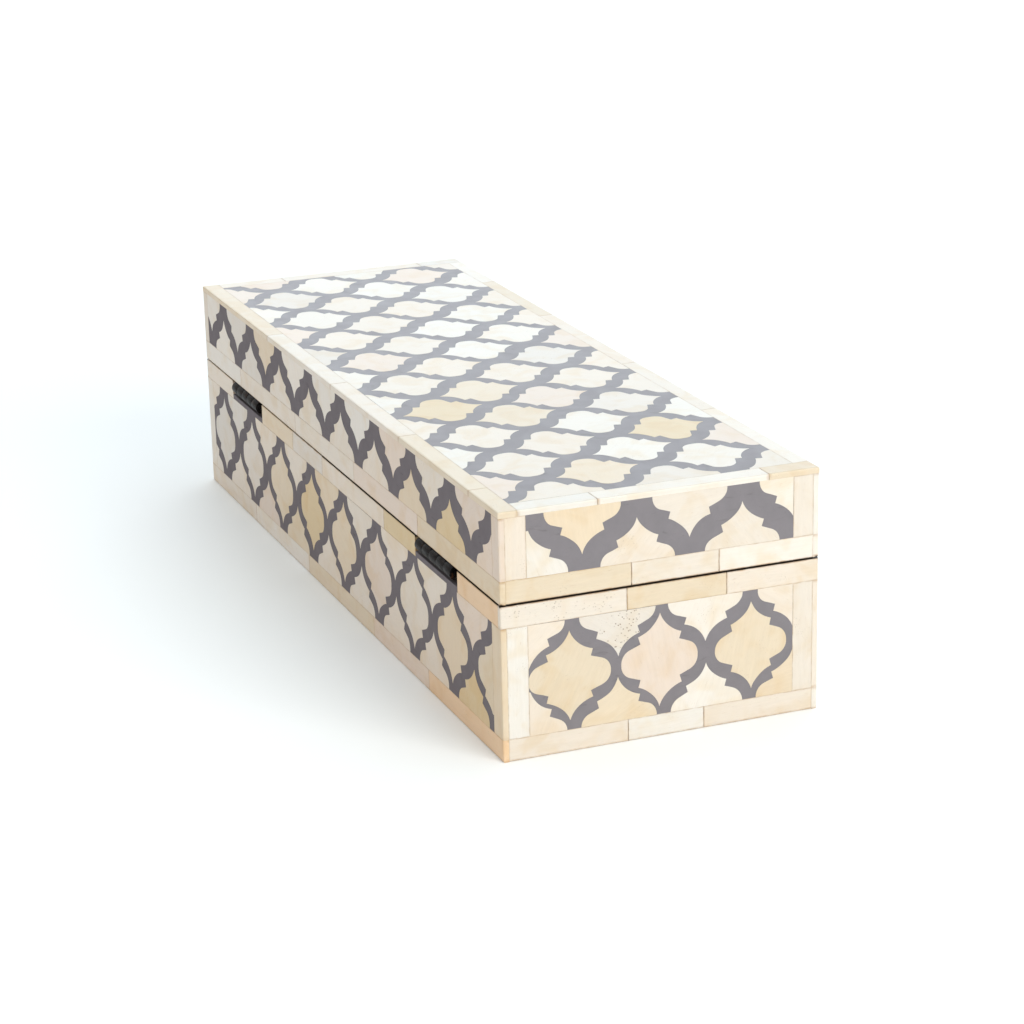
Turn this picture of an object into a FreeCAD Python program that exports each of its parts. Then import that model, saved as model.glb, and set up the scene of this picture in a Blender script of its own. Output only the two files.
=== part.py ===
"""Long inlaid wooden box with a hinged lid.

A wooden base and lid carry a skin of small bone tiles set in grey resin, framed by butt-jointed
strips of bone. Two knuckle hinges, let into the top of the back wall, join the lid to the base.

Frame: millimetres, +Z up, +X along the length, +Y towards the hinges.
The origin is the middle of the underside of the base.
"""
import FreeCAD, Part
import os

V = FreeCAD.Vector

# Overall size
LENGTH = 304.8
WIDTH = 101.6
HEIGHT = 76.2
BASE_HEIGHT = 48.0
SEAM_GAP = 0.4

# Wooden carcass and the skin on it
SKIN = 1.8
WALL = 7.0
BOARD = 5.0

# Widths of the bone strips that frame each inlaid field
BASE_STRIP = 6.9
LID_STRIP = 7.1
END_FACE_MARGIN = 8.4
BASE_LONG_MARGIN = 7.0
LID_LONG_MARGIN = 5.4
TOP_END_STRIP = 6.9
TOP_BACK_STRIP = 6.0
TOP_FRONT_STRIP = 5.4
STRIP_JOINT = 0.1

# Butt joints of the strips, measured from the left end of each side as seen from outside
BASE_LONG_UPPER_JOINTS = (108.0, 141.0, 204.0)
BASE_LONG_LOWER_JOINTS = (58.0, 121.0, 190.0, 242.0)
BASE_END_UPPER_JOINTS = (39.5, 71.5)
BASE_END_LOWER_JOINTS = (39.5, 64.0)
LID_LONG_LOWER_JOINTS = (46.0, 112.0, 175.0, 236.0)
LID_END_LOWER_JOINTS = (41.0, 69.0)
TOP_FRONT_JOINTS = (70.0, 132.0, 205.0, 262.0)
TOP_BACK_JOINTS = (23.5, 84.0, 151.0, 222.0)
TOP_END_JOINTS = (16.4, 71.0)

# Rows of tiles: the middle of a row's first tile and the step to the next. Every second row
# starts half a step further along.
BASE_LONG_FIRST, BASE_LONG_PITCH = 8.1, 34.2
BASE_END_FIRST, BASE_END_PITCH = 8.4, 28.27
LID_LONG_FIRST, LID_LONG_PITCH = 10.2, 34.04
LID_END_FIRST, LID_END_PITCH = 8.9, 33.9
TOP_FIRST, TOP_PITCH = 8.6, 32.4
TOP_ROWS = 6
TOP_ROW_RISE = 18.35
SMALLEST_TILE_AREA = 2.0

# One tile: pointed above and below, round lobes left and right, a stepped shoulder between
TILE_HALF_WIDTH = 11.9
TILE_HALF_HEIGHT = 13.9
LOBE_START = (9.05, 4.08)
NOTCH = (6.0, 5.2)
SHOULDER = (6.6, 7.3)
TIP_FLANK = (2.3, 9.95)

# How much wider and taller the tiles of each side are than the one above
BASE_LONG_STRETCH = (1.06, 1.03)
LID_LONG_STRETCH = (1.04, 0.97)
TOP_STRETCH = (1.07, 0.98)
END_STRETCH = (1.0, 1.0)

# Hinges
HINGE_FROM_END = 53.2
HINGE_LENGTH = 30.6
KNUCKLES = 5
KNUCKLE_GAP = 0.2
BARREL_RADIUS = 2.15
PIN_RADIUS = 0.8
PIN_CLEARANCE = 0.05
PIN_STANDOUT = 0.3
AXIS_INSET = 0.9
AXIS_BELOW_LID = 2.3
LEAF_THICKNESS = 1.1
LEAF_INNER_EDGE = 43.2
LEAF_NOTCH_CLEARANCE = 0.3
MORTISE_LENGTH = 36.7
MORTISE_DEPTH = 5.2
GROOVE_CLEARANCE = 0.5
LEAF_CLEARANCE = 0.2

# Hinge screws
SCREW_SPACING = 18.4
SCREW_Y = 45.3
SCREW_LENGTH = 7.0
SCREW_SHANK_RADIUS = 0.8
SCREW_HEAD_RADIUS = 1.5
SCREW_HEAD_HEIGHT = 0.7
SCREW_CLEARANCE = 0.03
SCREW_SLOT_WIDTH = 0.4
SCREW_SLOT_DEPTH = 0.3

# Places that follow from the sizes above
HALF_LENGTH = LENGTH / 2
HALF_WIDTH = WIDTH / 2
LID_BOTTOM = BASE_HEIGHT + SEAM_GAP
LID_SKIN_TOP = HEIGHT - SKIN
WOOD_HALF_LENGTH = HALF_LENGTH - SKIN
WOOD_HALF_WIDTH = HALF_WIDTH - SKIN
HINGE_OFFSET = HALF_LENGTH - HINGE_FROM_END
AXIS_Y = HALF_WIDTH - AXIS_INSET
AXIS_Z = LID_BOTTOM - AXIS_BELOW_LID
LEAF_FLOOR = AXIS_Z - AXIS_BELOW_LID
MORTISE_FLOOR = BASE_HEIGHT - MORTISE_DEPTH
GROOVE_Y = AXIS_Y - BARREL_RADIUS - GROOVE_CLEARANCE
HINGE_CENTRES = {"left": -HINGE_OFFSET, "right": HINGE_OFFSET}


def save(node, solids):
    """Write one node as its own STEP file."""
    Part.makeCompound(solids).exportStep(f"parts/{node}.step")


def block(x, y, z):
    """A box from three (low, high) pairs."""
    size = V(x[1] - x[0], y[1] - y[0], z[1] - z[0])
    return Part.makeBox(size.x, size.y, size.z, V(x[0], y[0], z[0]))


class Side:
    """One outer side of the box: u runs to the right and v upwards as seen from outside."""

    def __init__(self, corner, u_axis, v_axis):
        n = u_axis.cross(v_axis)
        self.placement = FreeCAD.Placement(
            FreeCAD.Matrix(
                u_axis.x, v_axis.x, n.x, corner.x,
                u_axis.y, v_axis.y, n.y, corner.y,
                u_axis.z, v_axis.z, n.z, corner.z,
                0, 0, 0, 1,
            )
        )

    def skin(self, flat):
        """The solids of a flat outline, sunk by the skin's thickness into this side."""
        solids = flat.extrude(V(0, 0, -SKIN)).Solids
        for solid in solids:
            solid.Placement = self.placement.multiply(solid.Placement)
        return solids


def rectangle(u, v):
    """A flat rectangle from two (low, high) pairs."""
    corners = [V(u[0], v[0]), V(u[1], v[0]), V(u[1], v[1]), V(u[0], v[1]), V(u[0], v[0])]
    return Part.Face(Part.makePolygon(corners))


def tile_quadrant(right, up):
    """The stepped shoulder and the hollow flank of one quarter of a tile. right and up are the
    stretch of that quarter, and their signs its direction."""
    start, notch, shoulder, flank = (
        V(right * point[0], up * point[1]) for point in (LOBE_START, NOTCH, SHOULDER, TIP_FLANK)
    )
    tip = V(0, up * TILE_HALF_HEIGHT)
    return [
        Part.LineSegment(start, notch).toShape(),
        Part.LineSegment(notch, shoulder).toShape(),
        Part.Arc(shoulder, flank, tip).toShape(),
    ]


def tile_lobe(right, up):
    """The round lobe at one end of a tile."""
    lower = V(right * LOBE_START[0], -up * LOBE_START[1])
    upper = V(right * LOBE_START[0], up * LOBE_START[1])
    return Part.Arc(lower, V(right * TILE_HALF_WIDTH, 0), upper).toShape()


def make_tile(stretch):
    """The flat outline of one whole tile, centred on the origin."""
    wide, tall = stretch
    edges = []
    for right in (wide, -wide):
        edges.append(tile_lobe(right, tall))
        for up in (tall, -tall):
            edges += tile_quadrant(right, up)
    return Part.Face(Part.Wire(Part.sortEdges(edges)[0]))


def steps(first, pitch, low, high):
    """Places one pitch apart, from the first on, between low and high."""
    place = first
    while place < high:
        if place > low:
            yield place
        place += pitch


def set_tiles(u, v, rows, pitch, stretch):
    """The flat tiles of a field. Each row is (height, first place along it); tiles that cross
    the edge of the field are cut there."""
    field = rectangle(u, v)
    whole = make_tile(stretch)
    half_width, half_height = TILE_HALF_WIDTH * stretch[0], TILE_HALF_HEIGHT * stretch[1]
    tiles = []
    for height, first in rows:
        inside = v[0] < height - half_height and height + half_height < v[1]
        for place in steps(first, pitch, u[0] - half_width, u[1] + half_width):
            tile = whole.translated(V(place, height))
            if not (inside and u[0] < place - half_width and place + half_width < u[1]):
                tile = tile.common(field)
            tiles += [face for face in tile.Faces if face.Area > SMALLEST_TILE_AREA]
    return tiles


def strip(u, v, joints, along_u=True):
    """A border strip cut into butt-jointed lengths."""
    low, high = u if along_u else v
    inner = [joint for joint in joints if low < joint < high]
    starts = [low] + [joint + STRIP_JOINT / 2 for joint in inner]
    stops = [joint - STRIP_JOINT / 2 for joint in inner] + [high]
    if along_u:
        return [rectangle(pair, v) for pair in zip(starts, stops)]
    return [rectangle(u, pair) for pair in zip(starts, stops)]


def save_inlay(name, side, tiles, ground, strips):
    """Write the tiles, the resin ground and the bone border of one side."""
    resin = ground.cut(Part.makeCompound(tiles))
    save(f"{name}_tiles", [s for tile in tiles for s in side.skin(tile)])
    save(f"{name}_resin", [s for face in resin.Faces for s in side.skin(face)])
    save(f"{name}_border", [s for piece in strips for s in side.skin(piece)])


def upright_sides(bottom):
    """The four standing sides, each from its lower left corner as seen from outside."""
    up = V(0, 0, 1)
    return {
        "front": Side(V(-HALF_LENGTH, -HALF_WIDTH, bottom), V(1, 0, 0), up),
        "back": Side(V(HALF_LENGTH, HALF_WIDTH, bottom), V(-1, 0, 0), up),
        "left": Side(V(-HALF_LENGTH, HALF_WIDTH, bottom), V(0, -1, 0), up),
        "right": Side(V(HALF_LENGTH, -HALF_WIDTH, bottom), V(0, 1, 0), up),
    }


def cut_for_hinges(strips):
    """The back strips with an opening over each hinge mortise."""
    openings = []
    for centre in HINGE_CENTRES.values():
        middle = HALF_LENGTH - centre
        reach = (middle - MORTISE_LENGTH / 2, middle + MORTISE_LENGTH / 2)
        openings.append(rectangle(reach, (BASE_HEIGHT - BASE_STRIP, BASE_HEIGHT)))
    return [face for piece in strips for face in piece.cut(Part.makeCompound(openings)).Faces]


def hinge_sills():
    """Resin that fills the back strip below each hinge mortise."""
    sills = []
    for centre in HINGE_CENTRES.values():
        middle = HALF_LENGTH - centre
        reach = (middle - MORTISE_LENGTH / 2, middle + MORTISE_LENGTH / 2)
        sills.append(rectangle(reach, (BASE_HEIGHT - BASE_STRIP, MORTISE_FLOOR)))
    return sills


def base_inlay():
    """Rows of tiles round the base: one whole row, and a row cut in half above and below it.
    At the corners the long sides lap the ends, except that the ends' upper strips run through."""
    sides = upright_sides(0)
    v = (BASE_STRIP, BASE_HEIGHT - BASE_STRIP)
    middle = (v[0] + v[1]) / 2
    for name, side in sides.items():
        long_side = name in ("front", "back")
        if long_side:
            first, pitch, stretch = BASE_LONG_FIRST, BASE_LONG_PITCH, BASE_LONG_STRETCH
            joints = (BASE_LONG_UPPER_JOINTS, BASE_LONG_LOWER_JOINTS)
            u = (BASE_LONG_MARGIN, LENGTH - BASE_LONG_MARGIN)
            ends, upper_ends = (0, LENGTH), (SKIN, LENGTH - SKIN)
        else:
            first, pitch, stretch = BASE_END_FIRST, BASE_END_PITCH, END_STRETCH
            joints = (BASE_END_UPPER_JOINTS, BASE_END_LOWER_JOINTS)
            u = (END_FACE_MARGIN, WIDTH - END_FACE_MARGIN)
            ends, upper_ends = (SKIN, WIDTH - SKIN), (0, WIDTH)
        rows = [(v[0], first), (middle, first + pitch / 2), (v[1], first)]
        tiles = set_tiles(u, v, rows, pitch, stretch)
        strips = strip(upper_ends, (v[1], BASE_HEIGHT), joints[0])
        strips += strip(ends, (0, v[0]), joints[1])
        strips += [rectangle((ends[0], u[0]), v), rectangle((u[1], ends[1]), v)]
        ground = rectangle(u, v)
        if name == "back":
            strips = cut_for_hinges(strips)
            ground = ground.fuse(hinge_sills())
        save_inlay(f"base_{name}", side, tiles, ground, strips)


def lid_inlay():
    """A zigzag round the lid: half tiles standing on the lower strip and hanging from the top."""
    sides = upright_sides(LID_BOTTOM)
    v = (LID_STRIP, LID_SKIN_TOP - LID_BOTTOM)
    for name, side in sides.items():
        long_side = name in ("front", "back")
        if long_side:
            first, pitch, stretch = LID_LONG_FIRST, LID_LONG_PITCH, LID_LONG_STRETCH
            ends, joints = (0, LENGTH), LID_LONG_LOWER_JOINTS
            u = (LID_LONG_MARGIN, LENGTH - LID_LONG_MARGIN)
            rows = [(v[0], first + pitch / 2), (v[1], first)]
        else:
            first, pitch, stretch = LID_END_FIRST, LID_END_PITCH, END_STRETCH
            ends, joints = (SKIN, WIDTH - SKIN), LID_END_LOWER_JOINTS
            u = (END_FACE_MARGIN, WIDTH - END_FACE_MARGIN)
            rows = [(v[0], first), (v[1], first + pitch / 2)]
        tiles = set_tiles(u, v, rows, pitch, stretch)
        strips = strip(ends, (0, v[0]), joints)
        strips += [rectangle((ends[0], u[0]), v), rectangle((u[1], ends[1]), v)]
        save_inlay(f"lid_{name}", side, tiles, rectangle(u, v), strips)


def top_inlay():
    """Staggered rows of tiles over the whole top of the lid."""
    side = Side(V(-HALF_LENGTH, -HALF_WIDTH, HEIGHT), V(1, 0, 0), V(0, 1, 0))
    u = (TOP_END_STRIP, LENGTH - TOP_END_STRIP)
    v = (TOP_FRONT_STRIP, WIDTH - TOP_BACK_STRIP)
    rows = [
        (v[0] + row * TOP_ROW_RISE, TOP_FIRST + (row % 2) * TOP_PITCH / 2) for row in range(TOP_ROWS)
    ]
    tiles = set_tiles(u, v, rows, TOP_PITCH, TOP_STRETCH)
    strips = strip((0, LENGTH), (v[1], WIDTH), TOP_BACK_JOINTS)
    strips += strip(u, (0, v[0]), TOP_FRONT_JOINTS)
    strips += strip((0, u[0]), (0, v[1]), TOP_END_JOINTS, along_u=False)
    strips += strip((u[1], LENGTH), (0, v[1]), TOP_END_JOINTS, along_u=False)
    save_inlay("lid_top", side, tiles, rectangle(u, v), strips)


def wood_walls(low, high):
    """Four boards round an open inside: the long ones run through, the ends stand between."""
    x = (-WOOD_HALF_LENGTH, WOOD_HALF_LENGTH)
    inner_x = WOOD_HALF_LENGTH - WALL
    inner_y = WOOD_HALF_WIDTH - WALL
    between = (-inner_y, inner_y)
    return {
        "front_wall": block(x, (-WOOD_HALF_WIDTH, -inner_y), (low, high)),
        "back_wall": block(x, (inner_y, WOOD_HALF_WIDTH), (low, high)),
        "left_wall": block((-WOOD_HALF_LENGTH, -inner_x), between, (low, high)),
        "right_wall": block((inner_x, WOOD_HALF_LENGTH), between, (low, high)),
    }


def hinge_mortise(centre):
    """The space cut from the base's back wall for one closed hinge."""
    half_leaf = HINGE_LENGTH / 2 + LEAF_CLEARANCE
    leaf = block(
        (centre - half_leaf, centre + half_leaf),
        (LEAF_INNER_EDGE - LEAF_CLEARANCE, GROOVE_Y),
        (LEAF_FLOOR, BASE_HEIGHT),
    )
    groove = block(
        (centre - MORTISE_LENGTH / 2, centre + MORTISE_LENGTH / 2),
        (GROOVE_Y, HALF_WIDTH),
        (MORTISE_FLOOR, BASE_HEIGHT),
    )
    return leaf.fuse(groove)


def screw(x, top, up, grow=0.0):
    """One countersunk screw driven away from its head; up is 1 upwards, -1 downwards.
    A grow above 0 gives the hole it needs, without the driver's slot."""
    along = V(0, 0, up)
    shank = SCREW_SHANK_RADIUS + grow
    head = Part.makeCone(SCREW_HEAD_RADIUS + grow, shank, SCREW_HEAD_HEIGHT, V(x, SCREW_Y, top), along)
    neck = V(x, SCREW_Y, top + up * SCREW_HEAD_HEIGHT)
    length = SCREW_LENGTH - SCREW_HEAD_HEIGHT + grow
    body = head.fuse(Part.makeCylinder(shank, length, neck, along))
    if grow:
        return body
    slot = Part.makeBox(2 * SCREW_HEAD_RADIUS, SCREW_SLOT_WIDTH, 2 * SCREW_SLOT_DEPTH)
    slot.translate(V(x - SCREW_HEAD_RADIUS, SCREW_Y - SCREW_SLOT_WIDTH / 2, top - SCREW_SLOT_DEPTH))
    return body.cut(slot)


def screws(centre, leaf, grow=0.0):
    """The two screws of one leaf, or their holes."""
    up = 1 if leaf == "lid" else -1
    top = AXIS_Z + up * (AXIS_BELOW_LID - LEAF_THICKNESS)
    return [screw(centre + side * SCREW_SPACING / 2, top, up, grow) for side in (-1, 1)]


def knuckle_spans(centre):
    """The five knuckles from end to end: the lid holds the first, third and fifth."""
    length = (HINGE_LENGTH - (KNUCKLES - 1) * KNUCKLE_GAP) / KNUCKLES
    start = centre - HINGE_LENGTH / 2
    pitch = length + KNUCKLE_GAP
    spans = [(start + k * pitch, start + k * pitch + length) for k in range(KNUCKLES)]
    return {"lid": spans[0::2], "base": spans[1::2]}


def hinge_leaf(centre, leaf):
    """One leaf, rolled into its knuckles round the pin and notched for the other leaf's."""
    other = "base" if leaf == "lid" else "lid"
    up = 1 if leaf == "lid" else -1
    outer = AXIS_Z + up * AXIS_BELOW_LID
    inner = outer - up * LEAF_THICKNESS
    z = (min(outer, inner), max(outer, inner))
    x = (centre - HINGE_LENGTH / 2, centre + HINGE_LENGTH / 2)
    plate = block(x, (LEAF_INNER_EDGE, AXIS_Y), z)
    spans = knuckle_spans(centre)
    notch_y = AXIS_Y - BARREL_RADIUS - LEAF_NOTCH_CLEARANCE
    notches = [
        block((low - KNUCKLE_GAP, high + KNUCKLE_GAP), (notch_y, AXIS_Y), z)
        for low, high in spans[other]
    ]
    shape = plate.cut(notches)
    for low, high in spans[leaf]:
        barrel = Part.makeCylinder(BARREL_RADIUS, high - low, V(low, AXIS_Y, AXIS_Z), V(1, 0, 0))
        shape = shape.fuse(barrel)
    bore = Part.makeCylinder(
        PIN_RADIUS + PIN_CLEARANCE, HINGE_LENGTH, V(x[0], AXIS_Y, AXIS_Z), V(1, 0, 0)
    )
    return shape.cut([bore] + screws(centre, leaf, SCREW_CLEARANCE)).removeSplitter()


def hinge_pin(centre):
    """The pin through all five knuckles."""
    length = HINGE_LENGTH + 2 * PIN_STANDOUT
    start = V(centre - length / 2, AXIS_Y, AXIS_Z)
    return Part.makeCylinder(PIN_RADIUS, length, start, V(1, 0, 0))


def base_carcass():
    """The bottom board and the four walls on it."""
    x = (-WOOD_HALF_LENGTH, WOOD_HALF_LENGTH)
    y = (-WOOD_HALF_WIDTH, WOOD_HALF_WIDTH)
    save("base_bottom_board", [block(x, y, (0, BOARD))])
    walls = wood_walls(BOARD, BASE_HEIGHT)
    for centre in HINGE_CENTRES.values():
        cuts = [hinge_mortise(centre)] + screws(centre, "base", SCREW_CLEARANCE)
        walls["back_wall"] = walls["back_wall"].cut(cuts)
    for name, wall in walls.items():
        save(f"base_{name}", wall.Solids)


def lid_carcass():
    """The top board and the four walls under it."""
    x = (-WOOD_HALF_LENGTH, WOOD_HALF_LENGTH)
    y = (-WOOD_HALF_WIDTH, WOOD_HALF_WIDTH)
    save("lid_top_board", [block(x, y, (LID_SKIN_TOP - BOARD, LID_SKIN_TOP))])
    walls = wood_walls(LID_BOTTOM, LID_SKIN_TOP - BOARD)
    for centre in HINGE_CENTRES.values():
        walls["back_wall"] = walls["back_wall"].cut(screws(centre, "lid", SCREW_CLEARANCE))
    for name, wall in walls.items():
        save(f"lid_{name}", wall.Solids)


def hinges():
    """Both hinges: two leaves, a pin and the screws of each leaf."""
    for name, centre in HINGE_CENTRES.items():
        save(f"{name}_hinge_pin", [hinge_pin(centre)])
        for leaf in ("base", "lid"):
            save(f"{name}_hinge_{leaf}_leaf", hinge_leaf(centre, leaf).Solids)
            save(f"{name}_hinge_{leaf}_screws", screws(centre, leaf))


os.makedirs("parts", exist_ok=True)
base_carcass()
lid_carcass()
base_inlay()
lid_inlay()
top_inlay()
hinges()
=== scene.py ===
"""Looks of the inlaid box: bone tiles in resin, bone strips, wooden boards, iron hinges and a stage.

Laid out as an add-on and run as a script. Sizes are in metres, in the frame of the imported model.
"""

import math
import random

import bmesh
import bpy
import numpy as np
from bpy.props import FloatProperty, FloatVectorProperty, PointerProperty
from mathutils import Color, Matrix, Vector, geometry, noise


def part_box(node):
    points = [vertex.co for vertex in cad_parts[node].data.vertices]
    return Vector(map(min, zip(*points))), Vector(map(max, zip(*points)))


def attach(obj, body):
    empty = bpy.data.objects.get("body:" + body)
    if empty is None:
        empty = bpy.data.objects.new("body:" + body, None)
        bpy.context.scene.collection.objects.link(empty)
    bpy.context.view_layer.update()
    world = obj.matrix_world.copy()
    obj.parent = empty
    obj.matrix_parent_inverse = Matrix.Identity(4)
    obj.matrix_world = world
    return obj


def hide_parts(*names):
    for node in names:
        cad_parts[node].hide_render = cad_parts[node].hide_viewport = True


bl_info = {
    "name": "Inlaid Box",
    "version": (1, 0, 0),
    "blender": (4, 5, 0),
    "location": "View3D > Sidebar > Inlaid Box",
    "description": "Bone, resin, wood and iron for a long box with a hinged lid",
    "category": "Object",
}

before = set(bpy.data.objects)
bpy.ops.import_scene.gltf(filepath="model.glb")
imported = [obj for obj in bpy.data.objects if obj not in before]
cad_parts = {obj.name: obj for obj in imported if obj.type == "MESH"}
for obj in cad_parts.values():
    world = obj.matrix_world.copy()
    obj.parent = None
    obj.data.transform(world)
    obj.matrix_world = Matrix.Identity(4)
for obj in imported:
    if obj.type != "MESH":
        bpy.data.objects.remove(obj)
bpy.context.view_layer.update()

MM = 0.001
ON_EDGE = 0.02 * MM
UP = Vector((0, 0, 1))

# Each side's directions to the right and upwards, as seen from outside
SIDE_AXES = {
    "front": (Vector((1, 0, 0)), UP),
    "back": (Vector((-1, 0, 0)), UP),
    "left": (Vector((0, -1, 0)), UP),
    "right": (Vector((0, 1, 0)), UP),
    "top": (Vector((1, 0, 0)), Vector((0, 1, 0))),
}
SIDES = [("base", name) for name in ("front", "back", "left", "right")]
SIDES += [("lid", name) for name in ("front", "back", "left", "right", "top")]
HINGES = ("left", "right")
WALLS = ("front_wall", "back_wall", "left_wall", "right_wall")
BOARDS = [("base", name) for name in ("bottom_board", *WALLS)]
BOARDS += [("lid", name) for name in ("top_board", *WALLS)]

# How often each tone of bone turns up where none is picked below
TONE_SHARES = {"ivory": 46, "white": 34, "peach": 9, "honey": 4, "shell": 7}

# Tones picked one by one: the number of a piece, counted from the lowest row up and from left
# to right, and its tone
PICKED_TONES = {
    "base_left_tiles": dict(
        enumerate("ivory honey white honey honey peach honey ivory shell white ivory".split())
    ),
    "base_left_border": dict(enumerate("ivory white ivory white ivory ivory honey ivory".split())),
    "lid_left_tiles": dict(enumerate("white ivory ivory honey ivory white".split())),
    "lid_left_border": dict(enumerate("honey ivory white ivory ivory".split())),
    "base_back_tiles": dict(
        enumerate(
            "ivory ivory peach honey ivory ivory ivory ivory amber "
            "shell shell honey amber honey peach ivory honey honey "
            "ivory shell ivory ivory honey ivory ivory ivory peach".split()
        )
    ),
    "base_back_border": {
        2: "honey",
        3: "peach",
        4: "russet",
        6: "honey",
        10: "ivory",
        11: "amber",
        12: "russet",
    },
    "lid_back_tiles": {2: "ivory", 7: "amber", 8: "peach", 15: "peach", 16: "ivory", 17: "peach"},
    "lid_back_border": {2: "ivory", 3: "peach", 4: "honey", 6: "peach"},
    "lid_top_tiles": {10: "white", 11: "amber", 29: "honey", 31: "honey", 39: "ivory", 41: "amber"},
    "lid_top_border": {5: "honey", 7: "white", 9: "white", 11: "honey", 12: "honey", 13: "ivory"},
}

# How strongly an edge is stained: clean at 0, brown at 1, and black above that, which
# paints shade, with some dirt, into the seam between base and lid
TILE_STAIN = 0.12
JOINT_STAIN = 1.0
WORN_STAIN = 0.05
FOOT_STAIN = 0.9
# Painted shade, with some dirt, in the seam between base and lid; less at the back's far half
SEAM_SHADE_AND_STAIN = 2.0
FAR_SEAM_SHADE_AND_STAIN = 1.3
FLANK_STAIN = 0.8

# How the staining and the painted seam shade fade over a piece's rounded edge: halfway up it,
# and where it ends
STAIN_AND_SHADE_HALFWAY = 0.8
STAIN_AND_SHADE_ABOVE = 0.55

# How strongly the bone and the resin of each side mirror
GLOSS = {
    "top": (0.20, 0.20),
    "left": (0.06, 0.50),
    "right": (0.06, 0.50),
    "front": (0.05, 0.0),
    "back": (0.05, 0.0),
}

# Pieces whose bone is full of dark pits, and how full
PITTED = {("base_left_tiles", 8): 0.8, ("base_left_border", 5): 0.45}

# How the whole tiles of the left end were cut: shift right and up in mm, stretch right and up
CUT_BY_HAND = {
    ("base_left_tiles", 4): (-1.3, -0.6, 1.08, 1.01),
    ("base_left_tiles", 5): (-0.8, 0.1, 1.01, 1.06),
    ("base_left_tiles", 6): (0.3, -0.1, 1.01, 0.98),
}

# How much fuller than their plan the flanks of the tiles of a side were cut
FULLNESS = {
    "base_back": 0.07,
    "base_front": 0.07,
    "base_left": 0.025,
    "base_right": 0.025,
    "lid_back": 0.06,
    "lid_front": 0.06,
    "lid_left": 0.025,
    "lid_right": 0.025,
    "lid_top": 0.06,
}

# How far the first tiles of a side were set from their plan, in mm at the left border, and the
# distance in mm over which that fades
DRIFT = {"base_back": (-5.5, 50.0)}

# Sets how the outlines of the tiles wander, the same in every run
WANDER_SEED = 1

# How far the tiles of a side lean to the right for each mm of height
LEAN = {"base_back": 0.05, "base_front": 0.05, "lid_top": -0.07}


def display(text):
    """Scene-linear colour of a six-digit display colour."""
    parts = [int(text[i : i + 2], 16) / 255 for i in (0, 2, 4)]
    return [c / 12.92 if c <= 0.04045 else ((c + 0.055) / 1.055) ** 2.4 for c in parts]


def length_property(name, description, millimetres):
    return FloatProperty(
        name=name,
        description=description,
        default=millimetres * MM,
        min=0.0,
        precision=5,
        subtype="DISTANCE",
        unit="LENGTH",
    )


def share_property(name, description, default):
    return FloatProperty(
        name=name, description=description, default=default, min=0.0, max=1.0, subtype="FACTOR"
    )


def colour_property(name, description, text):
    return FloatVectorProperty(
        name=name,
        description=description,
        default=display(text),
        size=3,
        min=0.0,
        max=1.0,
        subtype="COLOR",
    )


class INLAIDBOX_PG_sizes(bpy.types.PropertyGroup):
    """Small sizes of the handwork. The box's own sizes come from the frame."""

    tile_edge: length_property("Tile Edge", "Rounding of a tile's edge", 0.06)
    joint_edge: length_property("Joint Edge", "Rounding of a strip's edge at a joint", 0.10)
    box_edge: length_property("Box Edge", "Rounding of the strips at the box's corners", 0.45)
    seam_edge: length_property("Seam Edge", "Rounding of the strips beside the lid's seam", 0.22)
    resin_drop: length_property("Resin Drop", "How far the resin lies below the bone", 0.03)
    stain_width: length_property("Stain Width", "Width of the stained band along a joint", 0.35)
    cut_error: length_property("Cut Error", "How far a tile's outline wanders", 0.24)
    set_error: length_property("Set Error", "How far a tile is set from its place", 0.30)
    size_error: share_property("Size Error", "How much tiles differ in size", 0.022)
    turn_error: FloatProperty(
        name="Turn Error",
        description="How far a tile is turned from upright",
        default=math.radians(1.1),
        min=0.0,
        subtype="ANGLE",
        unit="ROTATION",
    )
    board_edge: length_property("Board Edge", "Rounding of the wooden boards", 0.35)
    leaf_edge: length_property("Leaf Edge", "Rounding of the hinge leaves and knuckles", 0.25)
    pin_edge: length_property("Pin Edge", "Rounding of the hinge pins' ends", 0.20)
    screw_edge: length_property("Screw Edge", "Rounding of the screw heads", 0.05)


class INLAIDBOX_PG_colours(bpy.types.PropertyGroup):
    """Colours of the finishes."""

    ivory: colour_property("Ivory", "Most of the bone", "D8CFC2")
    white: colour_property("White", "The palest bone", "DBD6CD")
    honey: colour_property("Honey", "Yellowed bone", "D4C6AF")
    amber: colour_property("Amber", "The yellowest bone", "D0BD99")
    russet: colour_property("Russet", "Brownish bone", "DEC3A3")
    peach: colour_property("Peach", "Pinkish bone", "D7C9BB")
    shell: colour_property("Shell", "Greyish bone", "D1CBC2")
    bone_cloud: colour_property("Bone Cloud", "Tint of the warm patches in the bone", "F8EDD9")
    bone_pore: colour_property("Bone Pore", "Dirt in the pores of the bone", "6B5440")
    joint_stain: colour_property("Joint Stain", "Old glue and polish along the joints", "A8865F")
    # Painted shade, with some dirt, for the seam between base and lid
    seam_shade_and_dirt: colour_property("Seam Shade And Dirt", "Painted shade and dirt in the seam between base and lid", "2A1F18")
    resin: colour_property("Resin", "The ground between the tiles", "726E72")
    resin_dark: colour_property("Resin Dark", "Darker streaks in the ground", "585456")
    wood_light: colour_property("Wood Light", "Early wood of the boards", "A9794C")
    wood_dark: colour_property("Wood Dark", "Late wood and pores of the boards", "5E3A20")
    # Painted shade for the hinge mortises
    wood_dirt: colour_property("Mortise Shade", "Oil and dirt in the hinge mortises", "1E1814")
    iron: colour_property("Iron", "Blackened hinge iron", "0D0B0C")
    iron_worn: colour_property("Iron Worn", "Iron rubbed bright", "625E5C")
    rust: colour_property("Rust", "Rust in the corners of the iron", "5A3A26")
    screw: colour_property("Screw", "Dulled steel of the screws", "8A857E")
    floor: colour_property("Floor", "The floor of the stage", "F7F7F6")


def sizes():
    return bpy.context.scene.inlaid_box_sizes


def colours():
    return bpy.context.scene.inlaid_box_colours


# ---------------------------------------------------------------- flat outlines


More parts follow.
